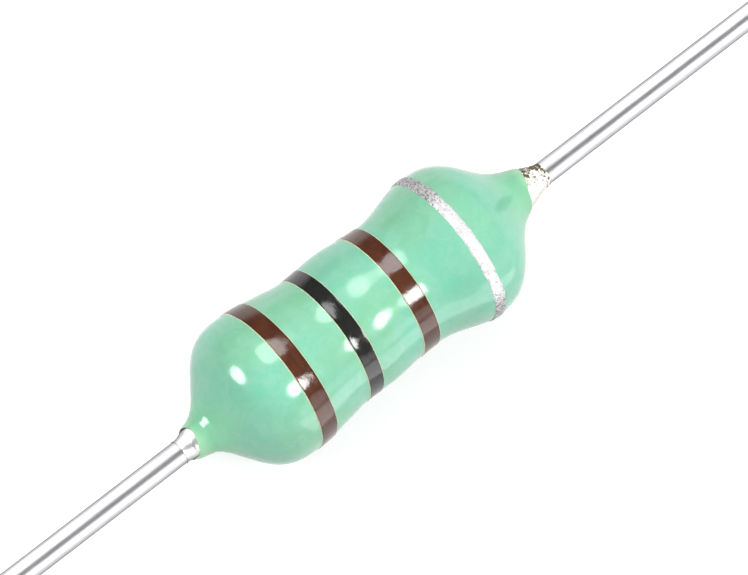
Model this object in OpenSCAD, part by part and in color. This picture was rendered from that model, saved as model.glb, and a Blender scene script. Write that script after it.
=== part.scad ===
// Axial inductor: a wire-wound ferrite drum with two wire leads, dipped in epoxy
// and marked with four painted bands.  All sizes are in millimetres.
//
// X is the lead axis.  The start lead points to -X and the finish lead, next to
// the narrow tolerance band, points to +X.  The origin is the middle of the drum.
//
// The coil is one continuous wire: it wraps the start lead, climbs over the start
// flange, fills the window in an odd number of layers, climbs over the finish
// flange and wraps the finish lead.

/* [Ferrite drum] */
// Length of the drum over both flanges
core_len = 7.9; // [7.4:0.1:8.1]
// Diameter of the flanges
flange_d = 3.36; // [3.26:0.02:3.44]
// Axial width of each flange
flange_w = 1.45; // [1.3:0.05:1.7]
// Diameter of the post between the flanges
post_d = 1.9; // [1.7:0.05:1.96]
// Radius of the rounded outer edge of each flange
flange_edge_r = 0.3; // [0.15:0.05:0.4]
// Diameter of the blind lead hole in each end
hole_d = 0.8; // [0.75:0.05:1]
// Depth of that hole
hole_depth = 1.2; // [0.9:0.1:1.3]

/* [Coil] */
// Diameter of the enamelled wire
wire_d = 0.2; // [0.18:0.01:0.21]
// Number of layers, odd so that the two tails leave at opposite ends
layers = 3; // [1:2:3]
// Turns that each tail makes round its lead
wrap_turns = 1.75; // [0.75:0.25:2]

/* [Leads] */
// Diameter of the lead wire
lead_d = 0.65; // [0.55:0.05:0.7]
// Distance from the middle of the part to each lead tip
lead_reach = 31; // [12:0.5:34]
// Chamfer round the cut tip of a lead
tip_chamfer = 0.05; // [0.02:0.01:0.1]
// Depth of the root's corners under the surface of the wire
root_inset = 0.02; // [0.01:0.005:0.05]

/* [Solder] */
// Diameter of the start solder cone where it faces the drum
start_solder_d = 1.6; // [1.4:0.05:1.9]
// Diameter of the finish solder cone where it faces the drum
finish_solder_d = 1.9; // [1.5:0.05:1.95]
// Distance from the start face of the drum to the tip of its solder
start_solder_len = 2.14; // [2:0.02:2.6]
// Distance from the finish face of the drum to the tip of its solder
finish_solder_len = 2.3; // [2.1:0.02:2.8]
// Thickness of the solder left standing at its tip
solder_edge = 0.02; // [0.01:0.005:0.04]

/* [Epoxy coat] */
// Distance that the coat runs past the start face of the drum
start_neck_len = 1.76; // [1.6:0.02:1.9]
// Distance that the coat runs past the finish face of the drum
finish_neck_len = 1.68; // [1.5:0.02:1.9]
// Thickness of the coat's thin edge on each neck
neck_film = 0.03; // [0.02:0.01:0.06]
// Thickness of the coat on the start flange
start_bulb_t = 0.44; // [0.36:0.02:0.6]
// Thickness of the coat on the finish flange
finish_bulb_t = 0.495; // [0.36:0.005:0.6]
// Distance from the middle of each flange back to the crest of its bulb
crest_inset = 0.17; // [0:0.01:0.3]
// Thickness of the coat on the coil at the start-side waist
start_waist_t = 0.31; // [0.16:0.01:0.4]
// Place of that waist
start_waist_x = -1.15; // [-1.6:0.05:-0.9]
// Thickness of the coat on the coil at the slight swell between the waists
swell_t = 0.325; // [0.16:0.005:0.4]
// Place of that swell
swell_x = -0.48; // [-0.8:0.02:0.2]
// Thickness of the coat on the coil at the finish-side waist
finish_waist_t = 0.24; // [0.16:0.005:0.4]
// Place of that waist
finish_waist_x = 1.35; // [0.9:0.05:1.6]
// How full the start shoulder stays before it drops
start_fullness = 3.4; // [2.4:0.1:4]
// How early the start shoulder settles into its neck
start_settle = 4.2; // [3:0.1:5]
// How full the finish shoulder stays before it drops
finish_fullness = 2.9; // [2.4:0.1:4]
// How early the finish shoulder settles into its neck
finish_settle = 5.6; // [3:0.1:6]

/* [Colour bands] */
// Thickness of the paint
paint_t = 0.025; // [0.01:0.005:0.05]
// Place of the middle of band 1, the first digit
band_1_x = -2.71; // [-2.9:0.01:-2.4]
// Width of band 1
band_1_w = 0.52; // [0.3:0.02:0.7]
// Place of the middle of band 2, the second digit
band_2_x = -1.03; // [-1.4:0.01:-0.7]
// Width of band 2
band_2_w = 0.42; // [0.3:0.02:0.7]
// Place of the middle of band 3, the multiplier
band_3_x = 0.94; // [0.6:0.01:1.4]
// Width of band 3
band_3_w = 0.54; // [0.3:0.02:0.7]
// Place of the middle of band 4, the tolerance
band_4_x = 2.92; // [2.6:0.01:3.1]
// Width of band 4
band_4_w = 0.28; // [0.2:0.02:0.5]

/* [Clearances] */
// Clearance between two hidden pieces that touch on the real part
seat_gap = 0.01; // [0.01:0.002:0.016]
// Thickness of the cement between the lead's end and the floor of its hole
cement_floor = 0.08; // [0.04:0.02:0.2]

/* [Hidden] */
$fn = 64;

START = -1;                // side of the start lead
FINISH = 1;                // side of the finish lead
core_half = core_len / 2;
window_half = core_half - flange_w;
flange_r = flange_d / 2;
post_r = post_d / 2;
hole_r = hole_d / 2;
lead_r = lead_d / 2;
root_r = lead_r - root_inset;
root_sides = 12;           // flats on the buried root of a lead
root_overlap = 0.5;        // how far the root runs on inside the bare wire
cut_past = 1;              // how far a hole's cutter runs out of the face
arc_steps = 5;             // chords in a rounded edge

// ---- Wire route -------------------------------------------------------------
wire_r = wire_d / 2;
wire_off = wire_r + seat_gap;              // from a wall to the wire's centre
wire_room = 2 * wire_off;                  // what the wire needs between two walls
wire_sides = 5;
ring_count = 15;                           // rings of the sweep in one turn
ring_step = 360 / ring_count;
climb_rings = 4;                           // rings in a climb to the next layer
chord_lift = 1 / cos(ring_step / 2);       // keeps the chords clear of the post
coil_half = window_half - wire_off;        // outermost place of the wire's centre
turns = floor(2 * coil_half / (wire_d + seat_gap / 2));
pitch = 2 * coil_half / turns;
wrap_r = lead_r + wire_off;                // wire's centre on the lead
wrap_room_r = wrap_r * chord_lift + wire_off;
wrap_pitch = wire_d + seat_gap;
bend_r = wire_d;                           // bend from a layer up to a tail
coil_r = layer_r(layers) * chord_lift + wire_r;

// ---- Solder and coat --------------------------------------------------------
solder_face = core_half + wire_room;       // the tails pass under the solder
solder_tip_r = lead_r + solder_edge;
wrap_depth = wrap_turns * wrap_pitch + wire_room;
crest_x = core_half - flange_w / 2 - crest_inset;
profile_step = 0.2;                        // longest chord along the coat

// [middle, width] of each band
BANDS = [[band_1_x, band_1_w], [band_2_x, band_2_w],
         [band_3_x, band_3_w], [band_4_x, band_4_w]];

// Crests, waists and swell of the coat between the two shoulders, as [x, radius]
LEVELS = [[-crest_x, flange_r + start_bulb_t],
          [start_waist_x, coil_r + start_waist_t],
          [swell_x, coil_r + swell_t],
          [finish_waist_x, coil_r + finish_waist_t],
          [crest_x, flange_r + finish_bulb_t]];

// ---- Small helpers ----------------------------------------------------------
function unit(v) = v / norm(v);
function mix(a, b, t) = a + (b - a) * t;
function reversed(v) = [for (i = [len(v) - 1 : -1 : 0]) v[i]];
function sorted(v) =
    len(v) < 2 ? v :
    let(pivot = v[floor(len(v) / 2)])
    concat(sorted([for (n = v) if (n < pivot) n]),
           [pivot],
           sorted([for (n = v) if (n > pivot) n]));

// Point at distance r from the lead axis, turned by the given angle
function polar(x, r, angle) = [x, r * cos(angle), r * sin(angle)];

// Points on an arc about c, as [x, radius] pairs
function arc(c, r, from, to) =
    [for (i = [0 : arc_steps]) let(a = mix(from, to, i / arc_steps))
        c + r * [cos(a), sin(a)]];

// Revolves a profile of [x, radius] pairs about the lead axis
module revolve(profile) {
    rotate([0, 90, 0])
    rotate_extrude()
    polygon([for (p = profile) [p[1], p[0]]]);
}

// Flips a piece drawn for the finish end when the start end is wanted
module at_end(side) {
    mirror([side == START ? 1 : 0, 0, 0])
    children();
}

// ---- Sweep of a round wire along points -------------------------------------
function tangents(path) =
    let(last = len(path) - 1)
    [for (i = [0 : last]) unit(path[min(i + 1, last)] - path[max(i - 1, 0)])];
function square_to(n, t) = unit(n - (n * t) * t);
// One normal per ring, carried along the path so that the wire doesn't twist
function normals(t) =
    [for (i = 0, n = square_to([1, 0, 0], t[0]);
          i < len(t);
          i = i + 1, n = i < len(t) ? square_to(n, t[i]) : n) n];

module sweep(path, r, sides) {
    t = tangents(path);
    n = normals(t);
    last = len(path) - 1;
    points = [for (i = [0 : last]) let(b = cross(t[i], n[i]))
        for (j = [0 : sides - 1]) let(a = j * 360 / sides)
            path[i] + r * (cos(a) * n[i] + sin(a) * b)];
    skin = [for (i = [0 : last - 1]) for (j = [0 : sides - 1])
        let(k = (j + 1) % sides)
            [i * sides + j, i * sides + k, (i + 1) * sides + k, (i + 1) * sides + j]];
    first_cap = [for (j = [sides - 1 : -1 : 0]) j];
    last_cap = [for (j = [0 : sides - 1]) last * sides + j];
    polyhedron(points = points, faces = concat([first_cap], skin, [last_cap]),
               convexity = 10);
}

// ---- The coil's route -------------------------------------------------------
// Radius of the wire's centre in a layer, counted from 1 at the post
function layer_r(k) = post_r + wire_off + (k - 1) * (wire_d + seat_gap);

// Odd layers run to the finish flange and even ones back.  Above layer 1 they
// stop one pitch short of the start flange, where the start tail stands.
function layer_start(k) = k == 1 ? -coil_half : k % 2 == 0 ? coil_half : pitch - coil_half;
function layer_end(k) = k % 2 == 1 ? coil_half : pitch - coil_half;
function layer_rings(k) = (k == 1 ? turns : turns - 1) * ring_count;
// Rings wound before a layer begins
function rings_before(k) = k == 1 ? 0 : rings_before(k - 1) + layer_rings(k - 1) + climb_rings;

function layer_path(k) =
    [for (i = [1 : layer_rings(k)])
        polar(mix(layer_start(k), layer_end(k), i / layer_rings(k)),
              layer_r(k) * chord_lift,
              (rings_before(k) + i) * ring_step)];
function climb_path(k) =
    [for (i = [1 : climb_rings])
        polar(layer_end(k),
              mix(layer_r(k), layer_r(k + 1), i / climb_rings) * chord_lift,
              (rings_before(k) + layer_rings(k) + i) * ring_step)];
function winding_path() =
    [for (k = [1 : layers]) each concat(layer_path(k), k < layers ? climb_path(k) : [])];

finish_angle = (rings_before(layers) + layer_rings(layers)) * ring_step;

// Over the flange: up its inner face, round both rims and onto its end face
function rim_line() = concat(
    arc([window_half, flange_r], wire_off, 180, 90),
    arc([core_half - flange_edge_r, flange_r - flange_edge_r],
        flange_edge_r + wire_off, 90, 0));

// Where the tail leaves the rim, and its slant down to the lead
face_r = flange_r - flange_edge_r;
slant = acos(wrap_r / face_r);

// A tail, from the layer that it leaves to its end on the lead.  The sense is 1
// when it follows the winding and -1 when it runs against it.
function tail_path(side, r, angle, sense) = concat(
    // quarter bend from the layer up to the flange's inner face
    [for (a = [0, 45, 90])
        polar(side * coil_half, r + bend_r * (1 - cos(a)),
              angle - sense * bend_r * (1 - sin(a)) / r * 180 / PI)],
    [for (p = rim_line()) polar(side * p[0], p[1], angle)],
    // straight across the end face
    [for (i = [1 : 2]) let(t = i / 3)
        mix(polar(side * (core_half + wire_off), face_r, angle),
            polar(side * (core_half + wire_off), wrap_r, angle + sense * slant), t)],
    // round the lead
    [for (i = [0 : wrap_turns * ring_count])
        polar(side * (core_half + wire_off + i * wrap_pitch / ring_count),
              wrap_r * (i == 0 ? 1 : chord_lift),
              angle + sense * (slant + i * ring_step))]);

function coil_path() = concat(
    reversed(tail_path(START, layer_r(1), 0, -1)),
    // the last ring of the winding gives way to the bend of the finish tail
    [for (i = [0 : len(winding_path()) - 2]) winding_path()[i]],
    tail_path(FINISH, layer_r(layers), finish_angle, 1));

// ---- Profiles, as [x, radius] pairs -----------------------------------------
// Solder cone at a distance x from the middle, for one side
function solder_len(side) = side == START ? start_solder_len : finish_solder_len;
function solder_base_r(side) = (side == START ? start_solder_d : finish_solder_d) / 2;
function solder_tip(side) = core_half + solder_len(side);
function solder_r(side, x) =
    let(t = (max(x, solder_face) - solder_face) / (solder_tip(side) - solder_face))
    mix(solder_base_r(side), solder_tip_r, t);

// The coat: level at each crest and waist, then a full shoulder and a thin neck
function ease(t) = t * t * (3 - 2 * t);
function neck_end(side) = core_half + (side == START ? start_neck_len : finish_neck_len);
function level_r(x) =
    let(i = [for (n = [0 : len(LEVELS) - 2]) if (x <= LEVELS[n + 1][0]) n][0],
        a = LEVELS[i],
        b = LEVELS[i + 1])
    mix(a[1], b[1], ease((x - a[0]) / (b[0] - a[0])));
function shoulder_r(side, x) =
    let(crest = side == START ? LEVELS[0][1] : LEVELS[len(LEVELS) - 1][1],
        fullness = side == START ? start_fullness : finish_fullness,
        settle = side == START ? start_settle : finish_settle,
        t = min(1, (x - crest_x) / (neck_end(side) - crest_x)),
        film_r = solder_r(side, x) + neck_film)
    mix(film_r, crest, pow(1 - pow(t, fullness), settle));
function coat_r(x) =
    x < -crest_x ? shoulder_r(START, -x) :
    x > crest_x ? shoulder_r(FINISH, x) :
    level_r(x);

// Stations along the coat.  The band edges are among them, so that the paint
// lies face to face on the coat.
coat_knots = sorted(concat([-neck_end(START), -crest_x, crest_x, neck_end(FINISH)],
                           [for (b = BANDS) b[0] - b[1] / 2],
                           [for (b = BANDS) b[0] + b[1] / 2]));
coat_stations = concat(
    [for (i = [0 : len(coat_knots) - 2])
        let(a = coat_knots[i], b = coat_knots[i + 1], n = ceil((b - a) / profile_step))
        for (k = [0 : n - 1]) mix(a, b, k / n)],
    [neck_end(FINISH)]);

// Upper half of a flange's outline, from the window to the end face, grown by g
function flange_profile(g) = concat(
    [[window_half - g, flange_r + g]],
    arc([core_half - flange_edge_r, flange_r - flange_edge_r], flange_edge_r + g, 90, 0));
function flipped(profile) = [for (p = reversed(profile)) [-p[0], p[1]]];

// Half of the space inside the coat, from the window out to the end of the neck
function hollow_profile(side) = concat(
    [[window_half - seat_gap, coil_r + seat_gap]],
    flange_profile(seat_gap),
    [[core_half + seat_gap, wrap_room_r],
     [solder_face - seat_gap, wrap_room_r],
     [solder_face - seat_gap, solder_base_r(side) + seat_gap],
     [neck_end(side), solder_r(side, neck_end(side)) + seat_gap]]);

// ---- Pieces -----------------------------------------------------------------
module ferrite_drum() {
    color([0.23, 0.22, 0.22])
    difference() {
        revolve(concat(
            [[-core_half, 0]],
            flipped(concat([[window_half, post_r]], flange_profile(0))),
            concat([[window_half, post_r]], flange_profile(0)),
            [[core_half, 0]]));
        for (side = [START, FINISH])
            at_end(side)
            translate([core_half - hole_depth, 0, 0])
            rotate([0, 90, 0])
            cylinder(r = hole_r, h = hole_depth + cut_past);
    }
}

module coil_wire() {
    color([0.72, 0.36, 0.16])
    sweep(coil_path(), wire_r, wire_sides);
}

// A straight wire.  Its buried root has flats that key into cement and solder.
module lead(side) {
    root = core_half - hole_depth + cement_floor;
    tip = lead_reach - tip_chamfer;
    color([0.82, 0.82, 0.8])
    at_end(side) {
        translate([root, 0, 0])
        rotate([0, 90, 0])
        cylinder(r = root_r, h = solder_tip(side) + root_overlap - root, $fn = root_sides);
        revolve([[solder_tip(side), 0], [solder_tip(side), lead_r], [tip, lead_r],
                 [lead_reach, lead_r - tip_chamfer], [lead_reach, 0]]);
    }
}

module lead_start() { lead(START); }

module lead_finish() { lead(FINISH); }

// The cup of cement that holds a lead in its hole
module cement(side) {
    bottom = core_half - hole_depth;
    color([0.85, 0.8, 0.62])
    at_end(side)
    rotate([0, 90, 0])
    difference() {
        translate([0, 0, bottom + seat_gap])
        cylinder(r = hole_r - seat_gap, h = hole_depth - seat_gap);
        translate([0, 0, bottom + cement_floor - seat_gap])
        cylinder(r = root_r + seat_gap, h = hole_depth + cut_past, $fn = root_sides);
    }
}

module cement_start() { cement(START); }

module cement_finish() { cement(FINISH); }

// Solder cone on the lead, hollowed where the coil's tail wraps the lead
module solder(side) {
    tip = solder_tip(side);
    bore_r = lead_r + seat_gap;
    color([0.8, 0.79, 0.74])
    at_end(side)
    revolve([[solder_face, wrap_room_r], [solder_face, solder_base_r(side)],
             [tip, solder_tip_r], [tip, bore_r],
             [core_half + wrap_depth, bore_r], [core_half + wrap_depth, wrap_room_r]]);
}

module solder_start() { solder(START); }

module solder_finish() { solder(FINISH); }

// Room for one tail in the coat: up to the rim, over it and down to the lead
module tail_channel(side, angle, sense) {
    inner_r = face_r - wire_off;
    rim = concat(
        [[window_half - wire_room, inner_r]],
        arc([window_half, flange_r], wire_room, 180, 90),
        arc([core_half - flange_edge_r, flange_r - flange_edge_r],
            flange_edge_r + wire_room, 90, 0),
        [[solder_face, inner_r]]);
    from = face_r * [1, 0];
    to = wrap_r * [cos(slant), sense * sin(slant)];
    along = unit(to - from) * wire_off;
    across = [-along[1], along[0]];
    rotate([angle, 0, 0])
    at_end(side) {
        translate([0, 0, -wire_off])
        linear_extrude(wire_room)
        polygon(rim);
        // the bend up from the last layer
        translate([window_half - wire_room, inner_r, -wire_off - (sense > 0 ? bend_r : 0)])
        cube([wire_room, flange_r - inner_r, wire_room + bend_r]);
        translate([core_half, 0, 0])
        rotate([90, 0, 90])
        linear_extrude(wire_room)
        polygon([from - along + across, to + across, to - across, from - along - across]);
    }
}

module epoxy_coat() {
    color([0.53, 0.83, 0.69])
    difference() {
        revolve(concat(
            [[-neck_end(START), 0]],
            [for (x = coat_stations) [x, coat_r(x)]],
            [[neck_end(FINISH), 0]]));
        revolve(concat(
            [[-neck_end(START), 0]],
            flipped(hollow_profile(START)),
            hollow_profile(FINISH),
            [[neck_end(FINISH), 0]]));
        tail_channel(START, 0, -1);
        tail_channel(FINISH, finish_angle, 1);
    }
}

// A ring of paint that follows the coat
module band(i) {
    from = BANDS[i][0] - BANDS[i][1] / 2;
    to = BANDS[i][0] + BANDS[i][1] / 2;
    xs = [for (x = coat_stations) if (x >= from && x <= to) x];
    revolve(concat(
        [for (x = xs) [x, coat_r(x) + paint_t]],
        [for (x = reversed(xs)) [x, coat_r(x)]]));
}

module band_1_brown() { color([0.4, 0.3, 0.22]) band(0); }

module band_2_black() { color([0.18, 0.2, 0.18]) band(1); }

module band_3_brown() { color([0.4, 0.3, 0.22]) band(2); }

module band_4_silver() { color([0.75, 0.76, 0.76]) band(3); }

ferrite_drum();
coil_wire();
lead_start();
lead_finish();
cement_start();
cement_finish();
solder_start();
solder_finish();
epoxy_coat();
band_1_brown();
band_2_black();
band_3_brown();
band_4_silver();
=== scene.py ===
"""Looks of the axial inductor: a dipped epoxy coil with four colour bands and two tinned leads."""
import math

import bpy
import numpy as np
from mathutils import Matrix, Vector, noise


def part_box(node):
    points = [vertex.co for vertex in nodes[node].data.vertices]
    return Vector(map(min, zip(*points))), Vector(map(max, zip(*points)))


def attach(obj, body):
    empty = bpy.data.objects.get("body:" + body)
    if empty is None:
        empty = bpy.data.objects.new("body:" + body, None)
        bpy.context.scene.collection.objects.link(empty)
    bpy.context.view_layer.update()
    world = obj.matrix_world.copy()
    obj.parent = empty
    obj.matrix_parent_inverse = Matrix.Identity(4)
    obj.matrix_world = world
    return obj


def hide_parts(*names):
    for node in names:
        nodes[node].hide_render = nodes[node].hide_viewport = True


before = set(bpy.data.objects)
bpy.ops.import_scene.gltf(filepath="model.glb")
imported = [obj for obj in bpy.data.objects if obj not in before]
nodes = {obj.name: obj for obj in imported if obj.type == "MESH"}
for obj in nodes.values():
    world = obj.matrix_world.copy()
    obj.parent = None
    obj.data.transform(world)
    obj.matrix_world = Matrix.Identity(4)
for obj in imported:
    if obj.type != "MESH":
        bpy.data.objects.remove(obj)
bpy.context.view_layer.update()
scene = bpy.context.scene
MM = 0.001

# ---------------------------------------------------------------- sizes, in millimetres
SIDES = 240                # columns round the coat, bands and solder
COAT_STATIONS = 270        # rings along the coat's outside
SOLDER_STATIONS = 150      # rings along a solder piece's outside
LEAD_SIDES = 96            # columns round a lead
LEAD_STEP = 0.5            # length of one ring of a lead
SHARP_EDGE = math.radians(35)
# Angles round the axis grow from +Z towards -Y. This is the one that faces the camera.
BROW = math.radians(19.2)

# The coat. Rows are (place along the axis, reach, height).
LUMP = 0.011               # how far the dipped coat swells and dips
LUMP_SPAN = 1.9            # radius of the ring on which that unevenness is laid out
SAG = 0.006                # extra unevenness where the coat draws down to the finish neck
CALM = (1.6, 1.2)          # how far in from the start and finish ends the swells are still weak
SAG_FROM = (3.7, 4.3)      # where along the axis the extra unevenness begins and is whole
SAG_END = 0.7              # and how far from the finish end it fades
PLUMPS = ((-4.6, 0.6, -0.035), (-1.05, 0.45, -0.035), (0.92, 0.5, -0.028), (4.66, 0.46, 0.065))
LEANS = ((-4.3, 1.2, -0.035), (0.3, 0.5, -0.035), (3.0, 0.9, 0.045), (5.2, 0.6, -0.06))
CRESTS = ((-3.5, 0.42, 0.035), (-0.2, 0.42, 0.018), (2.62, 0.34, 0.06), (3.42, 0.28, -0.035))
FILM = 0.03                # the coat's thickness on the solder, at its ends
FILM_REACH = 0.5           # how far in from an end the coat turns into that film
RIM_GAP = 0.01             # between the coat's thin ends and the solder under them
RIM_WAVE = 0.04            # how far the coat's ragged ends run in and out
RIM_REACH = 0.8            # how far in from an end the rim's shift is felt
# Each end's shift along the axis: the same all round, by the sine and by the cosine of the turn.
RIM_SLANTS = {-1: (-0.06, -0.1, 0.12), 1: (-0.11, -0.2, 0.0)}

# The bands.
PAINT_SINK = 0.004         # how far a band's underside bites into the coat
PAINT_LIP = 0.045          # width of the rounded paint edge
LIP_ACROSS = (0.0, 0.25, 0.6, 1.0)
LIP_RISE = (0.0, 0.6, 0.9, 1.0)
PAINT_COLUMN = 0.05        # width of one column of faces across a band
UNDER_COLUMNS = 6          # columns across its underside
UNDER_INSET = 0.002        # how far the underside stays in from the band's edges
THICKNESS_PROBES = 15      # places across a band at which the coat under it is measured
PUDDLE = 0.12              # how unevenly thick the paint lies
PAINT_WAVE = 0.012         # how far a band's edges run in and out
FLAKE_GRIT = 0.03          # the same for the fine specks along the silver band's edges
WANDER_TURN = math.radians(30)
CREAM_FACES = 2            # columns of faces on either edge that show the cream base paint
# How far each band's paint runs past its low and high edge, and how far it wanders to -X below.
PAINT_RUNS = {"band_1_brown": (0.045, 0.01, 0.1), "band_2_black": (-0.02, 0.1, 0.1),
              "band_3_brown": (0.015, 0.02, 0.08), "band_4_silver": (0.025, 0.045, 0.06)}

# The solder.
TIP_SINK = 0.002           # how far the solder's thin edge bites into the lead
BORE_ROOM = 0.014          # how much higher the solder stays further in, over its bore
BORE_REACH = 0.2           # how far from the tip that height is reached
HOLLOWS = {-1: 2.0, 1: 1.3}   # how hollow the bare cone is at the start and finish end
RIM_INSET = 0.1            # where the finish cone begins, in from the coat's end
LEAN_FROM = (4.9, 5.4)     # where along the axis the finish solder begins to lean with the coat
LEAN_TO = (6.2, 5.9)       # and where it stops
GRAIN = 0.022              # height of the finish solder's grains
GRAIN_SPAN = 0.13
RIPPLE = 0.0025            # height of the start solder's ripples
RIPPLE_SPAN = 0.3

FLOOR_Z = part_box("band_4_silver")[0].z   # metres
coat_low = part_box("epoxy_coat")[0].x / MM
coat_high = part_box("epoxy_coat")[1].x / MM


# ---------------------------------------------------------------- reading the frame's own shapes
SAME_PLACE = 1e-3          # places along the axis closer than this are one
LEAST_FACING = 0.05        # how much a face must look away from the axis to belong to the outside
LEAST_FACES = 8            # how many such faces make a ring


def ring_segments(node, outward):
    """Profile pieces (x0, r0, x1, r1), in mm, of a node's faces.

    With outward they are the faces that look away from the axis, and else those that look to it."""
    mesh = nodes[node].data
    found = {}
    for face in mesh.polygons:
        points = [mesh.vertices[i].co / MM for i in face.vertices]
        middle = sum(points, Vector()) / len(points)
        radial = Vector((0, middle.y, middle.z))
        if radial.length < 1e-4:
            continue
        facing = face.normal.dot(radial.normalized())
        if (facing if outward else -facing) < LEAST_FACING:
            continue
        ends = sorted((round(p.x, 4), round(math.hypot(p.y, p.z), 3)) for p in points)
        key = ends[0] + ends[-1]
        if key[2] - key[0] > SAME_PLACE:
            found[key] = found.get(key, 0) + 1
    return sorted(key for key, count in found.items() if count >= LEAST_FACES)


def profile(node, outward=True):
    """The chain of (x, r) points, from low to high x, of a node's outside or bore."""
    chain = []
    for x0, r0, x1, r1 in ring_segments(node, outward):
        if chain and x0 < chain[-1][0] - SAME_PLACE:
            continue
        for point in ((x0, r0), (x1, r1)):
            if not chain or point != chain[-1]:
                chain.append(point)
    return chain


def smooth_radius(points):
    """A smooth r(x) through profile points, by cubic pieces with averaged slopes."""
    xs = np.array([p[0] for p in points])
    rs = np.array([p[1] for p in points])
    keep = np.concatenate(([True], np.diff(xs) > SAME_PLACE))
    xs, rs = xs[keep], rs[keep]
    slopes = np.gradient(rs, xs)

    def radius(x):
        i = int(np.clip(np.searchsorted(xs, x) - 1, 0, len(xs) - 2))
        span = xs[i + 1] - xs[i]
        t = min(max((x - xs[i]) / span, 0.0), 1.0)
        a = (1 + 2 * t) * (1 - t) ** 2 * rs[i]
        b = t * (1 - t) ** 2 * span * slopes[i]
        c = t * t * (3 - 2 * t) * rs[i + 1]
        d = t * t * (t - 1) * span * slopes[i + 1]
        return a + b + c + d

    return radius


def smoothstep(low, high, value):
    t = min(max((value - low) / (high - low), 0.0), 1.0)
    return t * t * (3 - 2 * t)


def on_ring(x, r, angle):
    """A point in mm at the place x along the axis; angle 0 is +Z, and it grows towards -Y."""
    return Vector((x, -r * math.sin(angle), r * math.cos(angle)))


def lumps(place, along, across, shift=(0.0, 0.0, 0.0)):
    """Smooth noise from -1 to 1, at a place scaled along and across the axis, then shifted."""
    return noise.noise(Vector((place.x * along + shift[0],
                               place.y * across + shift[1],
                               place.z * across + shift[2])))


# ---------------------------------------------------------------- meshes
def add_object(name, verts, faces, materials, marks=None):
    mesh = bpy.data.meshes.new(name)
    mesh.from_pydata([tuple(v * MM) for v in verts], [], faces)
    for material in materials:
        mesh.materials.append(material)
    if marks is not None:
        mesh.polygons.foreach_set("material_index", marks)
    mesh.polygons.foreach_set("use_smooth", [True] * len(mesh.polygons))
    mesh.validate()
    mesh.update()
    mesh.set_sharp_from_angle(angle=SHARP_EDGE)
    obj = bpy.data.objects.new(name, mesh)
    scene.collection.objects.link(obj)
    return obj


def ring_solid(name, section, materials, shape, mark=None):
    """A closed ring swept round the axis from a closed section of (x, r) points.

    shape(k, x, r, angle) gives the moved (x, r) of section point k; mark(k) gives the material
    of the faces that follow it."""
    verts = []
    count = len(section)
    for j in range(SIDES):
        angle = 2 * math.pi * j / SIDES
        for k, (x, r) in enumerate(section):
            moved = shape(k, x, r, angle)
            verts.append(on_ring(moved[0], moved[1], angle))
    faces = []
    marks = []
    for j in range(SIDES):
        n = (j + 1) % SIDES
        for k in range(count):
            m = (k + 1) % count
            faces.append((j * count + k, n * count + k, n * count + m, j * count + m))
            marks.append(mark(k) if mark else 0)
    return add_object(name, verts, faces, materials, marks)


def spindle(name, chain, material):
    """A closed solid of revolution from a chain of (x, r) points, with a fan on each end."""
    verts = []
    for x, r in chain:
        for j in range(LEAD_SIDES):
            verts.append(on_ring(x, r, 2 * math.pi * j / LEAD_SIDES))
    faces = []
    for k in range(len(chain) - 1):
        near = k * LEAD_SIDES
        far = near + LEAD_SIDES
        for j in range(LEAD_SIDES):
            n = (j + 1) % LEAD_SIDES
            faces.append((near + j, near + n, far + n, far + j))
    first = len(verts)
    last = (len(chain) - 1) * LEAD_SIDES
    verts.append(Vector((chain[0][0], 0, 0)))
    verts.append(Vector((chain[-1][0], 0, 0)))
    for j in range(LEAD_SIDES):
        n = (j + 1) % LEAD_SIDES
        faces.append((first, n, j))
        faces.append((first + 1, last + j, last + n))
    return add_object(name, verts, faces, [material])


# ---------------------------------------------------------------- shader helpers
def join(tree, source, socket):
    """Links an output to a socket, or sets a plain value on it."""
    if hasattr(source, "is_output"):
        tree.links.new(source, socket)
    else:
        socket.default_value = source


def math_node(tree, operation, a, b=0.0, clamp=False):
    node = tree.nodes.new("ShaderNodeMath")
    node.operation = operation
    node.use_clamp = clamp
    join(tree, a, node.inputs[0])
    join(tree, b, node.inputs[1])
    return node.outputs[0]


def span_node(tree, value, low, high, to_low=0.0, to_high=1.0):
    """A smooth step of the value, from to_low at low to to_high at high."""
    node = tree.nodes.new("ShaderNodeMapRange")
    node.interpolation_type = "SMOOTHSTEP"
    join(tree, value, node.inputs["Value"])
    node.inputs["From Min"].default_value = low
    node.inputs["From Max"].default_value = high
    node.inputs["To Min"].default_value = to_low
    node.inputs["To Max"].default_value = to_high
    return node.outputs["Result"]


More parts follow.
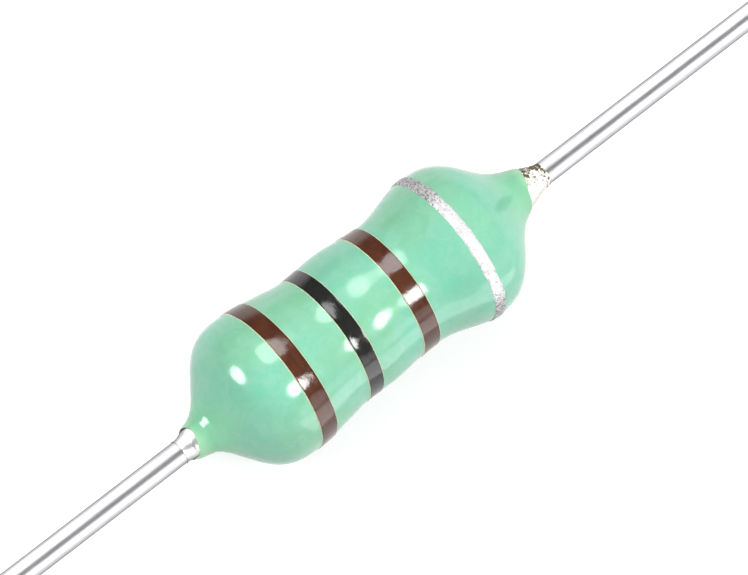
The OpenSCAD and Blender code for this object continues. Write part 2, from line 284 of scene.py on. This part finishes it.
class Look:
    """A node material on one Principled shader, with its coordinates in millimetres."""

    def __init__(self, name, **sockets):
        self.material = bpy.data.materials.new(name)
        self.material.use_nodes = True
        self.tree = self.material.node_tree
        self.tree.nodes.clear()
        output = self.add("ShaderNodeOutputMaterial")
        self.shader = self.add("ShaderNodeBsdfPrincipled")
        self.tree.links.new(self.shader.outputs["BSDF"], output.inputs["Surface"])
        for key, value in sockets.items():
            self.shader.inputs[key.replace("_", " ")].default_value = value
        coordinates = self.add("ShaderNodeTexCoord")
        self.place = self.vector("SCALE", coordinates.outputs["Object"], scale=1 / MM)
        self.x, self.y, self.z = self.split(self.place)

    def add(self, kind):
        return self.tree.nodes.new(kind)

    def split(self, vector):
        node = self.add("ShaderNodeSeparateXYZ")
        join(self.tree, vector, node.inputs[0])
        return node.outputs

    def vector(self, operation, a, b=None, scale=None, output="Vector"):
        node = self.add("ShaderNodeVectorMath")
        node.operation = operation
        join(self.tree, a, node.inputs[0])
        if b is not None:
            join(self.tree, b, node.inputs[1])
        if scale is not None:
            join(self.tree, scale, node.inputs["Scale"])
        return node.outputs[output]

    def plus(self, a, b):
        return math_node(self.tree, "ADD", a, b)

    def times(self, a, b):
        return math_node(self.tree, "MULTIPLY", a, b)

    def from_middle(self):
        """How far a place lies from the part's middle, along the axis."""
        return math_node(self.tree, "ABSOLUTE", self.x)

    def noise(self, scale, detail=2.0, roughness=0.5, distortion=0.0, vector=None):
        node = self.add("ShaderNodeTexNoise")
        join(self.tree, self.place if vector is None else vector, node.inputs["Vector"])
        node.inputs["Scale"].default_value = scale
        node.inputs["Detail"].default_value = detail
        node.inputs["Roughness"].default_value = roughness
        node.inputs["Distortion"].default_value = distortion
        return node.outputs["Fac"]

    def cells(self, scale):
        """A colour of its own for each small cell."""
        node = self.add("ShaderNodeTexVoronoi")
        join(self.tree, self.place, node.inputs["Vector"])
        node.inputs["Scale"].default_value = scale
        return node.outputs["Color"]

    def span(self, value, low, high, to_low=0.0, to_high=1.0):
        return span_node(self.tree, value, low, high, to_low, to_high)

    def near_ends(self, start, finish):
        """1 at the coat's ends; each pair says how far in that still holds, and where it is 0."""
        low = self.span(self.x, coat_low + start[0], coat_low + start[1], 1.0, 0.0)
        high = self.span(self.x, coat_high - finish[1], coat_high - finish[0], 0.0, 1.0)
        return self.plus(low, high)

    def mix(self, factor, a, b):
        node = self.add("ShaderNodeMix")
        node.data_type = "RGBA"
        join(self.tree, factor, node.inputs[0])
        for value, socket in ((a, node.inputs[6]), (b, node.inputs[7])):
            if isinstance(value, tuple):
                value = value + (1.0,)
            join(self.tree, value, socket)
        return node.outputs[2]

    def paint(self, color):
        join(self.tree, color, self.shader.inputs["Base Color"])

    def rough(self, value):
        join(self.tree, value, self.shader.inputs["Roughness"])

    def bump(self, *layers):
        """Each layer is (height 0..1, depth in mm)."""
        normal = None
        for height, depth in layers:
            node = self.add("ShaderNodeBump")
            node.inputs["Distance"].default_value = depth * MM
            join(self.tree, height, node.inputs["Height"])
            if normal is not None:
                join(self.tree, normal, node.inputs["Normal"])
            normal = node.outputs["Normal"]
        join(self.tree, normal, self.shader.inputs["Normal"])


def rgb(red, green, blue):
    """A colour written as it looks on screen, 0 to 255, as linear numbers."""
    def linear(value):
        value /= 255
        return value / 12.92 if value <= 0.04045 else ((value + 0.055) / 1.055) ** 2.4
    return (linear(red), linear(green), linear(blue))


# ---------------------------------------------------------------- materials
IRREGULAR = (0.35, 0.65)   # the middle range of a noise, which makes soft patches
EVEN = (0.3, 0.7)          # a wider range, for gentle changes of roughness
ACROSS_AXIS = (0.0, 1.0, 1.0)
GREY_TINT = (0.3, 0.3, 0.3, 1.0)
SMOKE_FILM = {"Coat_IOR": 1.02, "Coat_Roughness": 0.3, "Coat_Tint": (0.76, 0.76, 0.77, 1.0)}
PICTURE_UP = (0.944, 0.329)              # Y and Z of the side that is up to the camera
PAINTED_LIGHT_SIDE = (0.0, -0.518, 0.855)        # the side round the axis towards which the silver band is painted lighter; its flanks away from it get painted shade
WIRE_CORE = (0.24, 0.27)                 # radii between which copper gives way to tin, mm
CUT_ENDS = (30.9, 30.99)                 # how far from the middle the leads' cut faces begin


def epoxy_look():
    look = Look("mint_epoxy", IOR=1.5, Subsurface_Weight=0.12, Subsurface_Scale=0.0005,
                Subsurface_Radius=(0.6, 1.0, 0.8))
    pool = look.span(look.noise(0.42), *IRREGULAR)
    color = look.mix(pool, rgb(140, 208, 168), rgb(131, 211, 182))
    mottle = look.span(look.noise(2.3, detail=4.0, roughness=0.6, distortion=0.6), 0.38, 0.66)
    color = look.mix(look.times(mottle, 0.7), color, rgb(149, 215, 185))
    fleck = look.span(look.noise(11.0, detail=3.0, roughness=0.6), 0.54, 0.7)
    color = look.mix(look.times(fleck, 0.3), color, rgb(124, 203, 163))
    necks = look.near_ends(start=(0.3, 1.3), finish=(0.4, 1.6))
    color = look.mix(look.times(necks, 0.6), color, rgb(146, 220, 168))
    rims = look.near_ends(start=(0.05, 0.32), finish=(0.02, 0.3))
    color = look.mix(look.times(rims, 0.7), color, rgb(176, 232, 184))
    look.paint(color)
    look.rough(look.span(look.noise(3.0, detail=3.0), *EVEN, 0.12, 0.18))
    look.bump((look.noise(1.6), 0.006), (look.noise(9.0), 0.0007))
    return look.material


def paint_look(name, body, deep, worn):
    look = Look(name, IOR=1.5)
    around = look.vector("MULTIPLY", look.place, (1.0, 0.35, 0.35))
    streak = look.noise(3.2, detail=4.0, roughness=0.6, distortion=0.5, vector=around)
    color = look.mix(look.span(streak, 0.35, 0.68), body, deep)
    speck = look.span(look.noise(16.0), 0.62, 0.75)
    color = look.mix(look.times(speck, 0.35), color, worn)
    look.paint(color)
    look.rough(look.span(look.noise(7.0, detail=3.0), *EVEN, 0.07, 0.17))
    look.bump((look.noise(2.4), 0.006), (look.noise(22.0), 0.0012))
    return look.material


def edge_look():
    look = Look("cream_edge", IOR=1.5)
    tone = look.span(look.noise(9.0, detail=3.0), *IRREGULAR)
    look.paint(look.mix(tone, rgb(196, 226, 184), rgb(226, 232, 196)))
    look.rough(look.span(look.noise(12.0), *EVEN, 0.2, 0.35))
    look.bump((look.noise(18.0), 0.002))
    return look.material


def silver_look():
    """Flake paint, whiter on the band's upper side, and greyer and speckled round its flanks: real
    speckle with painted shade.
    """
    look = Look("silver_flake_paint", Metallic=0.25, Specular_Tint=(0.5, 0.5, 0.5, 1.0))
    flakes = look.cells(24.0)
    shade, wear, dullness = look.split(flakes)
    tilt = look.vector("SCALE", look.vector("SUBTRACT", flakes, (0.5, 0.5, 0.5)), scale=0.4)
    geometry = look.add("ShaderNodeNewGeometry")
    leaning = look.vector("ADD", geometry.outputs["Normal"], tilt)
    join(look.tree, look.vector("NORMALIZE", leaning), look.shader.inputs["Normal"])
    ring = look.vector("NORMALIZE", look.vector("MULTIPLY", look.place, ACROSS_AXIS))
    # Painted shade: round the band, away from the lighter side, the paint turns grey, as the lamps
    # leave the flanks darker.
    facing = look.vector("DOT_PRODUCT", ring, PAINTED_LIGHT_SIDE, output="Value")
    painted_flank_shade = look.span(facing, 0.5, 0.9, 1.0, 0.0)
    # thick is the lighter tone of the upper side and thin the grey, speckled tone of the flanks;
    # the flanks' greyness is painted shade, the specks are the paint's own.
    thick = look.mix(look.span(shade, 0.1, 0.9), rgb(220, 218, 220), rgb(240, 240, 240))
    thin = look.mix(look.span(wear, 0.3, 0.75), rgb(210, 208, 209), rgb(141, 138, 140))
    cloud = look.noise(7.0, detail=3.0, roughness=0.7)
    patch = look.plus(look.times(cloud, 0.5), look.times(dullness, 0.35))
    bare = look.span(look.plus(patch, look.times(painted_flank_shade, 0.42)), 0.5, 0.74)
    look.paint(look.mix(bare, thick, thin))
    look.rough(look.span(dullness, 0.0, 1.0, 0.4, 0.6))
    return look.material


def tin_look():
    look = Look("tinned_wire", Metallic=1.0, Specular_Tint=GREY_TINT, Coat_Weight=1.0, **SMOKE_FILM)
    drawn = look.vector("MULTIPLY", look.place, (0.12, 1.0, 1.0))
    streak = look.noise(26.0, detail=3.0, roughness=0.6, vector=drawn)
    cloud = look.span(look.noise(1.1, detail=3.0), 0.35, 0.7)
    color = look.mix(cloud, rgb(248, 248, 249), rgb(239, 239, 241))
    color = look.mix(look.span(streak, 0.62, 0.8), color, rgb(220, 219, 221))
    radial = look.vector("MULTIPLY", look.place, ACROSS_AXIS)
    radius = look.vector("LENGTH", radial, output="Value")
    core = look.span(radius, *WIRE_CORE, 1.0, 0.0)
    cut = look.times(core, look.span(look.from_middle(), *CUT_ENDS))
    look.paint(look.mix(cut, color, rgb(214, 146, 110)))
    look.rough(look.span(streak, *EVEN, 0.31, 0.38))
    look.bump((streak, 0.0004), (look.noise(1.3), 0.0015))
    return look.material


def solder_look(name, tones, dirt, dirt_scale, metal, dull, film):
    """Solder between two tones, with dark specks that gather on its upper side and near its seam
    with the coat, and a painted shade along its upper edge.
    """
    look = Look(name, Metallic=metal, Specular_Tint=GREY_TINT, Coat_Weight=film, **SMOKE_FILM)
    grain = look.noise(13.0, detail=4.0, roughness=0.6)
    color = look.mix(look.span(grain, *IRREGULAR), *tones)
    upper = look.plus(look.times(look.y, PICTURE_UP[0]), look.times(look.z, PICTURE_UP[1]))
    patch = look.times(look.span(upper, -0.05, 0.42), 0.2 * dirt)
    seam = look.times(look.span(look.from_middle(), 5.95, 6.2), 0.12 * dirt)
    blots = look.noise(dirt_scale, detail=3.0, roughness=0.65, distortion=0.4)
    specks = look.span(look.plus(blots, look.plus(patch, seam)), 0.61, 0.69)
    color = look.mix(look.times(specks, min(dirt, 1.0)), color, rgb(92, 80, 62))
    # Painted shade: a brownish grey line along the solder's upper edge, from close to the coat's
    # start end towards the finish.
    above = look.span(upper, 0.37, 0.42)
    inside = look.span(look.x, coat_low - 0.22, coat_low - 0.12)
    color = look.mix(look.times(above, inside), color, rgb(140, 128, 120))
    look.paint(color)
    look.rough(look.span(grain, *EVEN, dull, dull + 0.1))
    look.bump((grain, 0.009 * dirt), (look.noise(34.0), 0.002 * dirt))
    return look.material


def ferrite_look():
    look = Look("ferrite_ceramic", IOR=1.6)
    grain = look.noise(9.0, detail=5.0, roughness=0.7)
    color = look.mix(look.span(grain, *IRREGULAR), rgb(58, 57, 58), rgb(84, 82, 82))
    pit = look.span(look.noise(24.0), 0.64, 0.74)
    look.paint(look.mix(pit, color, rgb(34, 32, 33)))
    look.rough(look.span(grain, *EVEN, 0.55, 0.8))
    look.bump((grain, 0.006), (look.noise(40.0), 0.002))
    return look.material


def copper_look():
    look = Look("enamelled_copper", Metallic=0.8, Coat_Weight=0.8, Coat_Roughness=0.08)
    drawn = look.noise(5.0, detail=4.0, roughness=0.6, distortion=0.3)
    color = look.mix(look.span(drawn, *EVEN), rgb(203, 118, 62), rgb(222, 142, 84))
    spot = look.span(look.noise(19.0), 0.62, 0.76)
    look.paint(look.mix(spot, color, rgb(150, 76, 40)))
    look.rough(look.span(drawn, *EVEN, 0.2, 0.36))
    look.bump((look.noise(26.0), 0.002))
    return look.material


def cement_look():
    look = Look("cream_cement", IOR=1.5)
    grain = look.noise(15.0, detail=4.0, roughness=0.65)
    color = look.mix(look.span(grain, *IRREGULAR), rgb(224, 214, 180), rgb(240, 232, 204))
    pore = look.span(look.noise(30.0), 0.62, 0.74)
    look.paint(look.mix(pore, color, rgb(186, 172, 136)))
    look.rough(look.span(grain, *EVEN, 0.6, 0.85))
    look.bump((grain, 0.008))
    return look.material


mint = epoxy_look()
brown = paint_look("brown_paint", body=rgb(92, 51, 31), deep=rgb(78, 40, 25),
                   worn=rgb(116, 76, 56))
black = paint_look("black_paint", body=rgb(38, 38, 36), deep=rgb(28, 29, 27),
                   worn=rgb(70, 70, 68))
cream = edge_look()
silver = silver_look()
tin = tin_look()
solder_clean = solder_look("solder_bright", (rgb(248, 248, 247), rgb(236, 235, 233)),
                           dirt=0.2, dirt_scale=3.2, metal=1.0, dull=0.31, film=1.0)
solder_dirty = solder_look("solder_grainy", (rgb(250, 248, 243), rgb(238, 233, 222)),
                           dirt=1.05, dirt_scale=9.0, metal=0.45, dull=0.33, film=0.0)

# ---------------------------------------------------------------- epoxy coat
coat_bore = profile("epoxy_coat", outward=False)
coat_radius = smooth_radius(profile("epoxy_coat"))
wire_radius = max(r for _, r in profile("lead_start"))
# By end: -1 at the start, 1 at the finish.
solder_radius = {-1: smooth_radius(profile("solder_start")),
                 1: smooth_radius(profile("solder_finish"))}
solder_rims = {-1: coat_low, 1: coat_high - RIM_INSET}
solder_tips = {-1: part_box("solder_start")[0].x / MM, 1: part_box("solder_finish")[1].x / MM}


def swell(x, angle):
    """How far the dipped coat stands off its even shape at a place; none at its thin ends."""
    around = on_ring(x, LUMP_SPAN, angle) / LUMP_SPAN
    calm = smoothstep(coat_low, coat_low + CALM[0], x)
    calm *= smoothstep(coat_high, coat_high - CALM[1], x)
    broad = lumps(around, 0.9, 0.8, (7.3, 0.0, 0.0))
    fine = lumps(around, 2.1, 2.0, (0.0, 3.1, 0.0))
    neck = smoothstep(*SAG_FROM, x) * smoothstep(coat_high, coat_high - SAG_END, x)
    pull = lumps(around, 2.2, 1.7, (0.0, 9.1, 0.0))
    return calm * LUMP * (broad + 0.45 * fine) + neck * SAG * pull


def hills(rows, x):
    """The sum of soft hills, each given as (place along the axis, reach, height)."""
    return sum(height * math.exp(-((x - at) / reach) ** 2 / 2) for at, reach, height in rows)


def solder_lean(x):
    """How far the solder at the finish end leans with the coat; none deep inside or at its tip."""
    return hills(LEANS, x) * smoothstep(*LEAN_FROM, x) * smoothstep(*LEAN_TO, x)


def solder_surface(x, angle):
    """The solder's outside; bare of the coat it runs down to the lead in a hollow curve."""
    way = -1 if x < 0 else 1
    rim, tip = solder_rims[way], solder_tips[way]
    bare = (x - rim) / (tip - rim)
    radius = solder_radius[way](x)
    if 0 < bare < 1:
        thin = wire_radius - TIP_SINK
        hollow = thin + (solder_radius[way](rim) - thin) * (1 - bare) ** HOLLOWS[way]
        radius += (hollow - radius) * smoothstep(0.0, 0.3, bare)
    return radius + solder_lean(x) * math.sin(angle - BROW)


def coat_surface(x, angle):
    """The coat's outside; near its ends it is a film on the solder."""
    turn = angle - BROW
    film = solder_surface(x, angle) + FILM
    if x < coat_low or x > coat_high:
        return film
    near = max(smoothstep(coat_low + FILM_REACH, coat_low, x),
               smoothstep(coat_high - FILM_REACH, coat_high, x))
    full = coat_radius(x) + swell(x, angle) + hills(PLUMPS, x) + hills(LEANS, x) * math.sin(turn)
    full += hills(CRESTS, x) * (0.5 + 0.5 * math.cos(turn)) ** 2
    return max(full * (1 - near) + film * near, film)


def rim_shift(x, angle):
    """How far a point near one of the coat's slanting, ragged ends is moved along the axis."""
    turn = angle - BROW
    spin = Vector((math.cos(angle), math.sin(angle), 0.0))
    ragged = noise.noise(spin * 1.4 + Vector((0, 0, 4.0))) + 0.5 * noise.noise(spin * 4.5)
    ragged = RIM_WAVE * (ragged + 0.45 * noise.noise(spin * 12.0))
    shift = 0.0
    for way, end in ((-1, coat_low), (1, coat_high)):
        all_round, by_sine, by_cosine = RIM_SLANTS[way]
        slant = all_round + by_sine * math.sin(turn) + by_cosine * math.cos(turn) + ragged
        shift += slant * smoothstep(end - way * RIM_REACH, end, x)
    return shift


coat_outside = [(float(x), 0.0) for x in np.linspace(coat_low, coat_high, COAT_STATIONS)]
coat_section = coat_outside + list(reversed(coat_bore))


def coat_shape(k, x, r, angle):
    if k < COAT_STATIONS:
        moved = x + rim_shift(x, angle)
        return (moved, coat_surface(moved, angle))
    if k in (COAT_STATIONS, len(coat_section) - 1):
        moved = x + rim_shift(x, angle)
        return (moved, solder_surface(moved, angle) + RIM_GAP)
    return (x, r + solder_lean(x) * math.sin(angle - BROW))


coat = ring_solid("epoxy_body", coat_section, [mint], coat_shape)
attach(coat, "root")
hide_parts("epoxy_coat")


# ---------------------------------------------------------------- colour bands
def band_piece(name, node, material, edge, seed, wave=PAINT_WAVE, grit=0.0):
    """A ring of paint on the coat; edge is the material along its edges, or None."""
    low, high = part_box(node)
    run_low, run_high, wander = PAINT_RUNS[node]
    x0, x1 = low.x / MM - run_low, high.x / MM + run_high
    middle = (x0 + x1) / 2
    coat_under = max(coat_radius(x) for x in np.linspace(x0, x1, THICKNESS_PROBES))
    thick = max(r for _, r in profile(node)) - coat_under
    # Section points as (place along the axis, share of the paint's height; None underneath).
    lip = list(zip(LIP_ACROSS, LIP_RISE))
    top = [(x0 + PAINT_LIP * across, rise) for across, rise in lip]
    columns = max(4, round((x1 - x0) / PAINT_COLUMN))
    step = (x1 - x0 - 2 * PAINT_LIP) / columns
    top += [(x0 + PAINT_LIP + step * i, 1.0) for i in range(1, columns)]
    top += [(x1 - PAINT_LIP * across, rise) for across, rise in reversed(lip)]
    under = [(x1 - UNDER_INSET, None)]
    under += [(x1 - (x1 - x0) * i / UNDER_COLUMNS, None) for i in range(1, UNDER_COLUMNS)]
    under += [(x0 + UNDER_INSET, None)]
    section = top + under

    def shape(k, x, r, angle):
        side = (x - middle) / (middle - x0)
        spin = Vector((math.cos(angle), math.sin(angle), seed + (1.7 if side > 0 else 0.0)))
        run = noise.noise(spin * 1.6) + 0.5 * noise.noise(spin * 5.0)
        moved = x + wave * side * abs(side) * run
        moved += grit * side * abs(side) * noise.noise(spin * 15.0)
        moved -= wander * (0.5 + 0.5 * math.sin(angle - BROW - WANDER_TURN)) ** 2
        rise = section[k][1]
        base = coat_surface(moved, angle)
        if rise is None:
            return (moved, base - PAINT_SINK)
        spot = Vector((moved * 3, math.cos(angle) * 3, math.sin(angle) * 3))
        puddle = 1.0 + PUDDLE * noise.noise(spot)
        return (moved, base - PAINT_SINK * (1 - rise) + thick * rise * puddle)

    def mark(k):
        if edge is None:
            return 0
        far_edge = len(top) - 2 - CREAM_FACES < k < len(top)
        return 1 if k < CREAM_FACES or far_edge else 0

    materials = [material, edge] if edge else [material]
    piece = ring_solid(name, [(x, 0.0) for x, _ in section], materials, shape, mark)
    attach(piece, "root")
    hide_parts(node)


band_piece("first_band_brown", "band_1_brown", brown, cream, seed=1.0)
band_piece("second_band_black", "band_2_black", black, cream, seed=5.0)
band_piece("third_band_brown", "band_3_brown", brown, cream, seed=9.0)
band_piece("fourth_band_silver", "band_4_silver", silver, None, seed=13.0,
           wave=2 * PAINT_WAVE, grit=FLAKE_GRIT)


# ---------------------------------------------------------------- solder
def solder_piece(name, node, material, way, height, width):
    """A solder cone with grains of a height and width; way is -1 at the start, 1 at the finish."""
    outside = profile(node)
    bore = profile(node, outward=False)
    radius_at = smooth_radius(outside)
    rim = coat_low if way < 0 else coat_high
    tip = outside[0][0] if way < 0 else outside[-1][0]
    stations = [float(x) for x in np.linspace(outside[0][0], outside[-1][0], SOLDER_STATIONS)]
    section = [(x, radius_at(x)) for x in stations] + list(reversed(bore))

    def shape(k, x, r, angle):
        if k >= SOLDER_STATIONS:
            return (x, wire_radius - 2 * TIP_SINK if abs(x - tip) < SAME_PLACE else r)
        bare = smoothstep(rim - 0.12 * way, rim + 0.1 * way, x)
        bare *= smoothstep(tip, tip - 0.06 * way, x)
        place = on_ring(x, r, angle) / width
        grains = noise.noise(place) + 0.6 * noise.noise(place * 2.3)
        least = wire_radius - TIP_SINK + BORE_ROOM * smoothstep(tip, tip - BORE_REACH * way, x)
        return (x, max(solder_surface(x, angle) + height * bare * grains, least))

    piece = ring_solid(name, section, [material], shape)
    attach(piece, "root")
    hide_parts(node)
    return piece


solder_pieces = [solder_piece("start_solder_ring", "solder_start", solder_clean, -1,
                              RIPPLE, RIPPLE_SPAN),
                 solder_piece("finish_solder_fillet", "solder_finish", solder_dirty, 1,
                              GRAIN, GRAIN_SPAN)]

# ---------------------------------------------------------------- leads
lead_wires = []
for piece_name, node in (("start_lead_wire", "lead_start"), ("finish_lead_wire", "lead_finish")):
    chain = profile(node)
    filled = []
    for (x0, r0), (x1, r1) in zip(chain, chain[1:]):
        pieces = max(1, round((x1 - x0) / LEAD_STEP))
        filled += [(x0 + (x1 - x0) * i / pieces, r0 + (r1 - r0) * i / pieces)
                   for i in range(pieces)]
    filled.append(chain[-1])
    piece = spindle(piece_name, filled, tin)
    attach(piece, "root")
    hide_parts(node)
    lead_wires.append(piece)

# ---------------------------------------------------------------- what stays as the frame has it
cement = cement_look()
for node, material in (("ferrite_drum", ferrite_look()), ("coil_wire", copper_look()),
                       ("cement_start", cement), ("cement_finish", cement)):
    nodes[node].data.materials.clear()
    nodes[node].data.materials.append(material)

# ---------------------------------------------------------------- camera
AZIMUTH = math.radians(-40.1)
ELEVATION = math.radians(65.5)
SENSOR = 36.0             # mm, in the camera
DISTANCE = 200.0          # mm
VIEW_WIDTH = 19.43        # mm of the object plane across the picture
SHIFT_RIGHT = 0.347       # mm from the part's middle to the middle of the picture
SHIFT_UP = 0.681

back = Vector((math.sin(AZIMUTH) * math.cos(ELEVATION),
               -math.cos(AZIMUTH) * math.cos(ELEVATION),
               math.sin(ELEVATION)))
right = Vector((math.cos(AZIMUTH), math.sin(AZIMUTH), 0.0))
up = back.cross(right)
camera_data = bpy.data.cameras.new("camera")
camera_data.type = "PERSP"
camera_data.sensor_width = SENSOR
camera_data.lens = SENSOR * DISTANCE / VIEW_WIDTH
camera_data.clip_start = 0.01
camera_data.clip_end = 10.0
camera = bpy.data.objects.new("camera", camera_data)
scene.collection.objects.link(camera)
target = (right * SHIFT_RIGHT + up * SHIFT_UP) * MM
camera.location = target + back * DISTANCE * MM
camera.rotation_euler = back.to_track_quat("Z", "Y").to_euler()
scene.camera = camera

# ---------------------------------------------------------------- lights
LAMP_FAR = 400.0          # mm
ALONG = 0.33              # how far the lamps over the waist stand towards +X, as a direction
CARD_FAR = 25.0           # mm from the axis
CARD_RADIANCE = 2.1
CARD_SPANS = (("start", -26.0, 2.4), ("finish", 12.2, 38.0))   # mm along the axis
SHEET_SIZE = (11.0, 54.0)                                      # mm along and across the axis
SHEET_PLACE = (3.5, -33.0)                                     # mm, X and Y
SHEET_RISE = 0.05                                              # mm above the floor
across_axis = Vector((0.0, back.y, back.z)).normalized()
sideways = Vector((1.0, 0.0, 0.0)).cross(across_axis)


def round_axis(degrees):
    """The direction across the axis at an angle round it from the camera's side."""
    turn = math.radians(degrees)
    return across_axis * math.cos(turn) + sideways * math.sin(turn)


def area_light(name, shape, size, size_y, radiance):
    """A lamp of two sizes in metres that looks equally bright at any size."""
    data = bpy.data.lights.new(name, "AREA")
    data.shape = shape
    data.size = size
    data.size_y = size_y
    data.energy = radiance * math.pi * data.size * data.size_y
    if shape == "ELLIPSE":
        data.energy *= math.pi / 4
    return data


def place_light(name, data, location, facing, glossy=True, diffuse=True):
    """Puts a lamp at a place, looking against `facing`, with its long side along the axis."""
    z_axis = facing.normalized()
    y_axis = z_axis.cross(Vector((1, 0, 0))).normalized()
    x_axis = y_axis.cross(z_axis)
    obj = bpy.data.objects.new(name, data)
    scene.collection.objects.link(obj)
    obj.location = location
    obj.rotation_euler = Matrix((x_axis, y_axis, z_axis)).transposed().to_euler()
    obj.visible_camera = False
    obj.visible_glossy = glossy
    obj.visible_diffuse = diffuse
    return obj


def lamp(name, degrees, spread, length, radiance, along, glossy=True, diffuse=True):
    """A flat oval lamp that faces the part; spread and length are the angles it takes up."""
    direction = Vector((along, 0, 0)) + round_axis(degrees) * math.sqrt(1 - along ** 2)
    size = 2 * LAMP_FAR * MM * math.tan(math.radians(length) / 2)
    size_y = 2 * LAMP_FAR * MM * math.tan(math.radians(spread) / 2)
    data = area_light(name, "ELLIPSE", size, size_y, radiance)
    return place_light(name, data, direction * LAMP_FAR * MM, direction, glossy, diffuse)


def link_group(name, objects):
    group = bpy.data.collections.new(name)
    for obj in objects:
        group.objects.link(obj)
    return group


lamps = [lamp("key_lamp", 29.0, spread=19.0, length=15.0, radiance=27.0, along=ALONG),
         lamp("soft_lamp", -35.0, spread=31.0, length=22.0, radiance=7.2, along=ALONG),
         lamp("end_lamp", -50.5, spread=25.0, length=22.0, radiance=17.0, along=-0.77,
              diffuse=False),
         lamp("low_strip", 64.0, spread=18.0, length=24.0, radiance=1.6, along=ALONG,
              diffuse=False)]
lamp("overhead", -14.0, spread=44.0, length=44.0, radiance=0.6, along=0.0, glossy=False)
lamp("end_fill", -46.0, spread=30.0, length=30.0, radiance=5.6, along=-0.72, glossy=False)

# The wires mirror their own white cards, and not the lamps that show as highlights on the coat.
wires = link_group("wires_without_lamps", lead_wires)
for entry in wires.collection_objects:
    entry.light_linking.link_state = "EXCLUDE"
for obj in lamps:
    obj.light_linking.receiver_collection = wires

bright_metal = link_group("wires_and_solder", lead_wires + solder_pieces)


def card(name, degrees, width, low_x, high_x):
    """A white card beside one end, which only the lead and the solder mirror."""
    plane = round_axis(degrees)
    middle = Vector(((low_x + high_x) / 2, 0, 0)) + plane * CARD_FAR
    data = area_light(name, "RECTANGLE", (high_x - low_x) * MM, width * MM, CARD_RADIANCE)
    obj = place_light(name, data, middle * MM, plane, diffuse=False)
    obj.light_linking.receiver_collection = bright_metal


for end_name, low_x, high_x in CARD_SPANS:
    card(end_name + "_far_card", -60.0, 43.5, low_x, high_x)
    card(end_name + "_near_card", 50.0, 19.6, low_x, high_x)

# A bright sheet on the table in front, seen only as a reflection low on the near side.
sheet = area_light("table_sheet", "RECTANGLE", SHEET_SIZE[0] * MM, SHEET_SIZE[1] * MM,
                   CARD_RADIANCE)
sheet_place = Vector((SHEET_PLACE[0] * MM, SHEET_PLACE[1] * MM, FLOOR_Z + SHEET_RISE * MM))
place_light("table_sheet", sheet, sheet_place, Vector((0, 0, -1)), diffuse=False)

# ---------------------------------------------------------------- room
BACKDROP_TOP = 0.0        # sine of the height up to which the backdrop is white
CEILING_LOW = 0.2         # sine of the height from which the dim ceiling begins
FRONT_LEVEL = 0.3         # the room's own light from the front
REAR_LEVEL = 0.18         # and from the rear
REAR_FROM = 0.2           # how far to the rear that level is reached, as a direction's Y
world = bpy.data.worlds.new("studio")
scene.world = world
world.use_nodes = True
tree = world.node_tree
tree.nodes.clear()
world_out = tree.nodes.new("ShaderNodeOutputWorld")
room = tree.nodes.new("ShaderNodeBackground")
tree.links.new(room.outputs[0], world_out.inputs["Surface"])
where = tree.nodes.new("ShaderNodeTexCoord")
split = tree.nodes.new("ShaderNodeSeparateXYZ")
tree.links.new(where.outputs["Generated"], split.inputs[0])
level = span_node(tree, split.outputs[1], -1.0, REAR_FROM, FRONT_LEVEL, REAR_LEVEL)
# The backdrop is white to the camera, and to whatever mirrors it below the dim ceiling.
path = tree.nodes.new("ShaderNodeLightPath")
mirrored = math_node(tree, "ADD", path.outputs["Is Glossy Ray"],
                     path.outputs["Is Transmission Ray"])
backdrop = span_node(tree, split.outputs[2], BACKDROP_TOP, CEILING_LOW, 1.0, 0.0)
reflected = math_node(tree, "MULTIPLY", mirrored, backdrop)
shown = math_node(tree, "ADD", path.outputs["Is Camera Ray"], reflected, clamp=True)
seen = tree.nodes.new("ShaderNodeMix")
join(tree, shown, seen.inputs[0])
join(tree, level, seen.inputs[2])
join(tree, 1.0, seen.inputs[3])
room.inputs["Color"].default_value = (1, 1, 1, 1)
join(tree, seen.outputs[0], room.inputs["Strength"])

# ---------------------------------------------------------------- floor
FLOOR_HALF = 0.9          # metres
FLOOR_GREY = 0.45
FLOOR_GLOW = 0.7
corners = [(-FLOOR_HALF, -FLOOR_HALF, FLOOR_Z), (FLOOR_HALF, -FLOOR_HALF, FLOOR_Z),
           (FLOOR_HALF, FLOOR_HALF, FLOOR_Z), (-FLOOR_HALF, FLOOR_HALF, FLOOR_Z)]
floor_mesh = bpy.data.meshes.new("floor")
floor_mesh.from_pydata(corners, [], [(0, 1, 2, 3)])
floor = bpy.data.objects.new("floor", floor_mesh)
scene.collection.objects.link(floor)
paper = bpy.data.materials.new("white_paper")
paper.use_nodes = True
tree = paper.node_tree
tree.nodes.clear()
paper_out = tree.nodes.new("ShaderNodeOutputMaterial")
diffuse = tree.nodes.new("ShaderNodeBsdfDiffuse")
diffuse.inputs["Color"].default_value = (FLOOR_GREY, FLOOR_GREY, FLOOR_GREY, 1)
glow = tree.nodes.new("ShaderNodeEmission")
glow.inputs["Color"].default_value = (1, 1, 1, 1)
path = tree.nodes.new("ShaderNodeLightPath")
direct = math_node(tree, "ADD", path.outputs["Is Camera Ray"], path.outputs["Is Glossy Ray"])
lit = math_node(tree, "ADD", direct, path.outputs["Is Transmission Ray"], clamp=True)
join(tree, math_node(tree, "MULTIPLY", lit, FLOOR_GLOW), glow.inputs["Strength"])
both = tree.nodes.new("ShaderNodeAddShader")
join(tree, diffuse.outputs[0], both.inputs[0])
join(tree, glow.outputs[0], both.inputs[1])
# From below, the floor lets the part be seen.
clear = tree.nodes.new("ShaderNodeBsdfTransparent")
underneath = tree.nodes.new("ShaderNodeNewGeometry")
choose = tree.nodes.new("ShaderNodeMixShader")
join(tree, underneath.outputs["Backfacing"], choose.inputs[0])
join(tree, both.outputs[0], choose.inputs[1])
join(tree, clear.outputs[0], choose.inputs[2])
join(tree, choose.outputs[0], paper_out.inputs["Surface"])
floor_mesh.materials.append(paper)

scene.view_settings.view_transform = "Standard"
